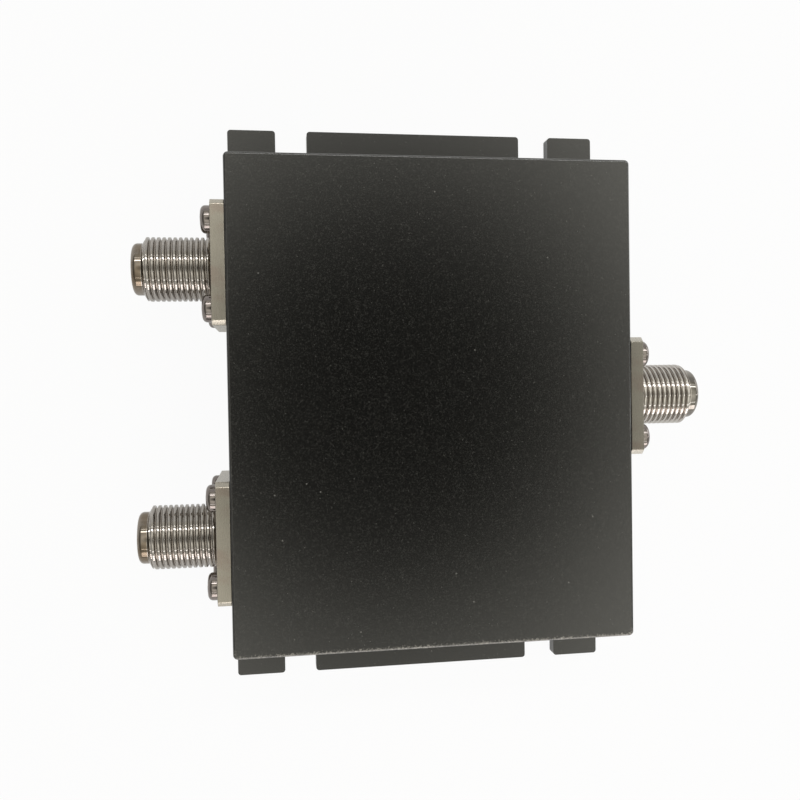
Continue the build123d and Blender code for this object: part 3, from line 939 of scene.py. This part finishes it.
def sunk_screw_mesh(name, screw, length, material):
    """A countersunk screw that points up, its flat head's face at height 0."""
    root = SCREW_RADIUS - SCREW_THREAD_DEPTH
    neck = SINK_RADIUS - root
    points = [(0.2 * SINK_RADIUS, 0.0), (SINK_RADIUS - SINK_RIM, 0.0), (SINK_RADIUS, SINK_RIM)]
    points += [(root + 0.1 * MM, neck - 0.1 * MM), (root, neck)]
    shape = bmesh.new()
    rows = skin(shape, upright(points, SCREW_COLUMNS))
    shape.faces.new(rows[0])
    shank(shape, length, neck)
    mesh = new_mesh(name, shape, material)
    cutter = recess_cutter(screw, 0.0)
    cutter.transform(Matrix.Rotation(pi, 4, "X"))
    return smoothed(carved(mesh, cutter))


def tightened(screw, i):
    """How the screw with this number in its group is turned about its own axis."""
    return Matrix.Rotation(screw.first_turn + i * screw.next_turn, 4, "Z")


class SPLITTER_OT_paint_housing(Operator):
    """Paint the housing and the bottom cover."""

    bl_idname = "splitter.paint_housing"
    bl_label = "Paint Housing"

    def execute(self, context):
        paint = context.scene.splitter_paint
        paint_nodes(black_paint("black paint", paint, True), "black_paint", "housing")
        paint_nodes(black_paint("black cover paint", paint, False), "black_paint_cover", "bottom_cover")
        return {"FINISHED"}


class SPLITTER_OT_cut_jacks(Operator):
    """Make the three jacks with their true screw threads."""

    bl_idname = "splitter.cut_jacks"
    bl_label = "Cut Jacks"

    def execute(self, context):
        thread = context.scene.splitter_thread
        metal = context.scene.splitter_metal
        bright = jack_nickel("nickel plate", thread, metal.nickel, metal.nickel, metal.barrel, BROWN_NOSE_WEAR_AND_REFLECTION)
        # The input's plating is a copy with painted light: darker flange, brighter chamfers and barrel,
        # grey nose
        dull = jack_nickel(
            "input nickel plate with painted light", thread, metal.input_flange_shade, INPUT_CHAMFER_HIGHLIGHT, metal.input_barrel_lit, GREY_NOSE_WEAR_AND_REFLECTION
        )
        mesh = jack_mesh("jack", thread, bright)
        duller = mesh.copy()
        duller.materials[0] = dull
        for name in JACKS:
            shape = duller if name == "input" else mesh
            new_piece("jack_" + name, shape, "nickel_plate", jack_place(name), "jack_body_" + name)
        return {"FINISHED"}


class SPLITTER_OT_drive_flange_screws(Operator):
    """Drive four pan-head screws into each flange."""

    bl_idname = "splitter.drive_flange_screws"
    bl_label = "Drive Flange Screws"

    def execute(self, context):
        screw = context.scene.splitter_screw
        material = nickel("screw plate", context.scene.splitter_metal.screw, 0.08)
        mesh = pan_screw_mesh("flange screw", screw, FLANGE_SCREW, material)
        for name in JACKS:
            for i, (y, z) in enumerate(flange_holes()):
                seat = Matrix.Translation((FLANGE_THICK, y, z)) @ Matrix.Rotation(pi / 2, 4, "Y")
                place = jack_place(name) @ seat @ tightened(screw, i)
                title = f"flange_screw_{name}_{i + 1}"
                new_piece(title, mesh, "nickel_screw", place, "flange_screws_" + name)
        return {"FINISHED"}


class SPLITTER_OT_drive_cover_screws(Operator):
    """Drive the countersunk screws into the bottom cover."""

    bl_idname = "splitter.drive_cover_screws"
    bl_label = "Drive Cover Screws"

    def execute(self, context):
        screw = context.scene.splitter_screw
        material = dark_plate("black zinc", context.scene.splitter_metal.dark_screw)
        mesh = sunk_screw_mesh("cover screw", screw, COVER_SCREW, material)
        low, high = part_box("cover_screws")
        reach_x, reach_y = high.x - SINK_RADIUS, high.y - SINK_RADIUS
        rows = (-reach_y, -COVER_SCREW_ROW, COVER_SCREW_ROW, reach_y)
        spots = [(x, y) for x in (-reach_x, reach_x) for y in rows]
        spots += [(0.0, -reach_y), (0.0, reach_y)]
        for i, (x, y) in enumerate(spots):
            place = Matrix.Translation((x, y, low.z)) @ tightened(screw, i)
            new_piece(f"cover_screw_{i + 1}", mesh, "dark_screw", place, "cover_screws")
        return {"FINISHED"}


class SPLITTER_OT_fit_contacts(Operator):
    """Finish the insulators and the centre contacts."""

    bl_idname = "splitter.fit_contacts"
    bl_label = "Fit Contacts"

    def execute(self, context):
        metal = context.scene.splitter_metal
        plastic = white_plastic("white plastic")
        gold = soft_metal("contact gold", metal.contact, scaled(metal.contact, 0.6), 0.2, (0.2 * MM,) * 3)
        for name in JACKS:
            paint_nodes(plastic, "white_plastic", "front_insulator_" + name, "rear_insulator_" + name)
            paint_nodes(gold, "contact_metal", "centre_contact_" + name)
        return {"FINISHED"}


class SPLITTER_OT_fit_board(Operator):
    """Finish the board with its copper, chips, solder and screws."""

    bl_idname = "splitter.fit_board"
    bl_label = "Fit Board"

    def execute(self, context):
        metal = context.scene.splitter_metal
        screw = context.scene.splitter_screw
        rolled = (4 * MM, 0.08 * MM, 0.08 * MM)
        copper = soft_metal("rolled copper", metal.copper, scaled(metal.copper, 0.45), 0.3, rolled)
        tin = soft_metal("solder", (0.72, 0.72, 0.74), (0.45, 0.45, 0.46), 0.22, (0.3 * MM,) * 3)
        paint_nodes(laminate("glass-fibre laminate"), "board_laminate", "circuit_board")
        paint_nodes(copper, "copper", "ground_plane", "microstrip_lines")
        paint_nodes(chip_glaze("chip glaze"), "chip_ceramic", "resistor_chips")
        paint_nodes(tin, "solder_tin", "resistor_caps", "solder_joints")
        plate = nickel("board screw plate", metal.screw, 0.2)
        mesh = pan_screw_mesh("board screw", screw, BOARD_SCREW, plate)
        low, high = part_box("board_screws")
        reach_x, reach_y = high.x - screw.pan_radius, high.y - screw.pan_radius
        spots = [(x, y) for x in (-reach_x, reach_x) for y in (-reach_y, reach_y)]
        for i, (x, y) in enumerate(spots):
            head_down = Matrix.Translation((x, y, high.z - BOARD_SCREW)) @ Matrix.Rotation(pi, 4, "X")
            place = head_down @ tightened(screw, i)
            new_piece(f"board_screw_{i + 1}", mesh, "nickel_screw", place, "board_screws")
        return {"FINISHED"}


def aimed(place, target):
    """Matrix of a lamp at a place that shines at a target, with its long side level along X."""
    back = (Vector(place) - Vector(target)).normalized()
    side = (Vector((1.0, 0.0, 0.0)) - back * back.x).normalized()
    turn = Matrix((side, back.cross(side), back)).transposed()
    return Matrix.Translation(place) @ turn.to_4x4()


def soft_lamp(name, place, size, level, target=LAMP_TARGET, colour=(1.0, 1.0, 1.0)):
    """A rectangular lamp whose face has a brightness of level, where 1 is plain white."""
    data = bpy.data.lights.new(name, "AREA")
    data.shape = "RECTANGLE"
    data.size, data.size_y = size
    data.energy = level * pi * size[0] * size[1]
    data.color = colour
    lamp = new_object(name, data)
    lamp.matrix_world = aimed(place, target)
    lamp.visible_camera = False


def hang_lamps(stage):
    """Low bars like a window's, a lamp by the input, and strips that draw the barrels' bright lines."""
    for i in range(WINDOW_BARS):
        place = (0.06, -0.30, 0.07 + 0.045 * i)
        soft_lamp(f"window {i + 1}", place, (0.40, 0.030), stage.window, colour=WINDOW_TINT)
    soft_lamp("side light", (0.30, 0.12, 0.10), (0.20, 0.20), stage.side)
    soft_lamp("far strip", (0.12, 0.41, 0.60), (0.90, 0.06), 2.2 * stage.strip)
    soft_lamp("farther strip", (0.12, 0.62, 0.60), (0.90, 0.025), stage.strip)
    soft_lamp("low strip", (0.12, -0.56, 0.60), (0.90, 0.03), stage.strip)
    over_input = (0.08, 0.0, 0.012)
    soft_lamp("near strip", (0.23, -0.0126, 0.115), (0.20, 0.006), 1.5 * stage.strip, target=over_input)


def floor_material(stage):
    """Pale floor that looks white where it is seen, and still takes the shadow."""
    finish = Finish("pale floor", {"Roughness": 0.9, "Specular IOR Level": 0.1})
    tone = finish.noise((0.3, 0.3, 0.3), detail=1.0)
    finish.colour(finish.mix(tone, scaled(stage.floor, 0.99), stage.floor))
    path = finish.add("LightPath").outputs
    mirrored = finish.product(path["Is Glossy Ray"], stage.mirrored_white)
    share = finish.product(finish.math("MAXIMUM", path["Is Camera Ray"], mirrored), stage.floor_glow)
    glow = finish.add("Emission", {"Color": (1.0, 1.0, 1.0, 1.0), "Strength": 1.0})
    mixed = finish.add("MixShader", {0: share, 1: finish.shader.outputs[0], 2: glow.outputs[0]})
    output = finish.tree.nodes["Material Output"]
    finish.feed(output.inputs["Surface"], mixed.outputs[0])
    return finish.material


def make_floor(stage):
    """A round pale floor just under the mounting plane, whose far rim curves up into a wall."""
    outline = [(radius, 0.0) for radius in FLOOR_RINGS]
    for step in range(1, FLOOR_STEPS + 1):
        angle = step * pi / 2 / FLOOR_STEPS
        outline.append((FLOOR_RINGS[-1] + FLOOR_BEND * sin(angle), FLOOR_BEND * (1 - cos(angle))))
    outline.append((FLOOR_RINGS[-1] + FLOOR_BEND, FLOOR_WALL))
    shape = bmesh.new()
    rows = skin(shape, upright(outline, FLOOR_COLUMNS))
    shape.faces.new(rows[0])
    bmesh.ops.recalc_face_normals(shape, faces=shape.faces)
    mesh = kept("floor", shape)
    mesh.materials.append(floor_material(stage))
    mesh.shade_smooth()
    floor = new_object("floor", mesh)
    floor.location.z = -FLOOR_DROP


def stepped(nodes, value, stops):
    """Warm white whose brightness runs through (value, level) stops, for values from -1 to 1."""
    share = nodes.add("MapRange", {"Value": value, "From Min": -1.0}).outputs[0]
    ramp = nodes.add("ValToRGB", {0: share})
    for at, level in stops[1:-1]:
        ramp.color_ramp.elements.new((at + 1) / 2)
    for element, (at, level) in zip(ramp.color_ramp.elements, stops):
        element.position = (at + 1) / 2
        element.color = (*(level * part for part in SURROUNDINGS_TINT), 1.0)
    return ramp.outputs[0]


def make_world():
    """Plain soft surroundings, dark where the top face's middle mirrors them, dimmer to either side."""
    world = bpy.data.worlds.new("studio")
    world.use_nodes = True
    bpy.context.scene.world = world
    nodes = Nodes(world.node_tree)
    way = nodes.add("TexCoord").outputs["Generated"]
    towards = {0: way, 1: Vector(MIRRORED_WAY).normalized()}
    nearness = nodes.add("VectorMath", towards, operation="DOT_PRODUCT").outputs["Value"]
    lean = nodes.add("SeparateXYZ", {0: way}).outputs["X"]
    by_nearness = [(cos(radians(angle)), level) for angle, level in BY_DEGREES]
    background = nodes.tree.nodes["Background"].inputs
    nodes.feed(background["Color"], stepped(nodes, nearness, by_nearness))
    nodes.feed(background["Strength"], nodes.product(stepped(nodes, lean, BY_LEAN), SURROUNDINGS_LEVEL))


def make_camera(stage):
    """The photograph's view: almost straight down on the top face, close by."""
    data = bpy.data.cameras.new("camera")
    data.lens = stage.lens
    data.sensor_width = 36.0
    data.clip_start = 0.005
    camera = new_object("camera", data)
    about_x, about_y, about_z = (Matrix.Rotation(angle, 3, axis) for angle, axis in zip(stage.tilt, "XYZ"))
    back = (about_z @ about_x @ about_y).transposed()
    spot = back @ Vector((-stage.slide[0], -stage.slide[1], stage.distance))
    spot.z += HOUSING_TOP.z
    camera.matrix_world = Matrix.Translation(spot) @ back.to_4x4()
    bpy.context.scene.camera = camera


class SPLITTER_OT_set_stage(Operator):
    """Set the floor, the lamps, the surroundings and the camera."""

    bl_idname = "splitter.set_stage"
    bl_label = "Set Stage"

    def execute(self, context):
        stage = context.scene.splitter_stage
        context.scene.view_settings.view_transform = "Standard"
        make_floor(stage)
        make_world()
        hang_lamps(stage)
        make_camera(stage)
        return {"FINISHED"}


class SPLITTER_PT_parts(Panel):
    """Every step of the splitter's dressing, with its settings."""

    bl_label = "Coaxial Splitter"
    bl_idname = "SPLITTER_PT_parts"
    bl_space_type = "VIEW_3D"
    bl_region_type = "UI"
    bl_category = "Splitter"

    def draw(self, context):
        for operator in OPERATORS:
            self.layout.operator(operator.bl_idname)
        for name, group in GROUPS.items():
            box = self.layout.box()
            for key in group.__annotations__:
                box.prop(getattr(context.scene, name), key)


GROUPS = {
    "splitter_paint": SplitterPaint,
    "splitter_metal": SplitterMetal,
    "splitter_thread": SplitterThread,
    "splitter_screw": SplitterScrew,
    "splitter_stage": SplitterStage,
}
OPERATORS = (
    SPLITTER_OT_paint_housing,
    SPLITTER_OT_cut_jacks,
    SPLITTER_OT_drive_flange_screws,
    SPLITTER_OT_drive_cover_screws,
    SPLITTER_OT_fit_contacts,
    SPLITTER_OT_fit_board,
    SPLITTER_OT_set_stage,
)


def register():
    for group in (*GROUPS.values(), *OPERATORS, SPLITTER_PT_parts):
        bpy.utils.register_class(group)
    for name, group in GROUPS.items():
        setattr(bpy.types.Scene, name, PointerProperty(type=group))


def unregister():
    for name in GROUPS:
        delattr(bpy.types.Scene, name)
    for group in (SPLITTER_PT_parts, *reversed(OPERATORS), *reversed(GROUPS.values())):
        bpy.utils.unregister_class(group)


def main():
    """Register the parts of the dressing and run them in order."""
    register()
    for operator in OPERATORS:
        group, call = operator.bl_idname.split(".")
        getattr(getattr(bpy.ops, group), call)()


if __name__ == "__main__":
    main()
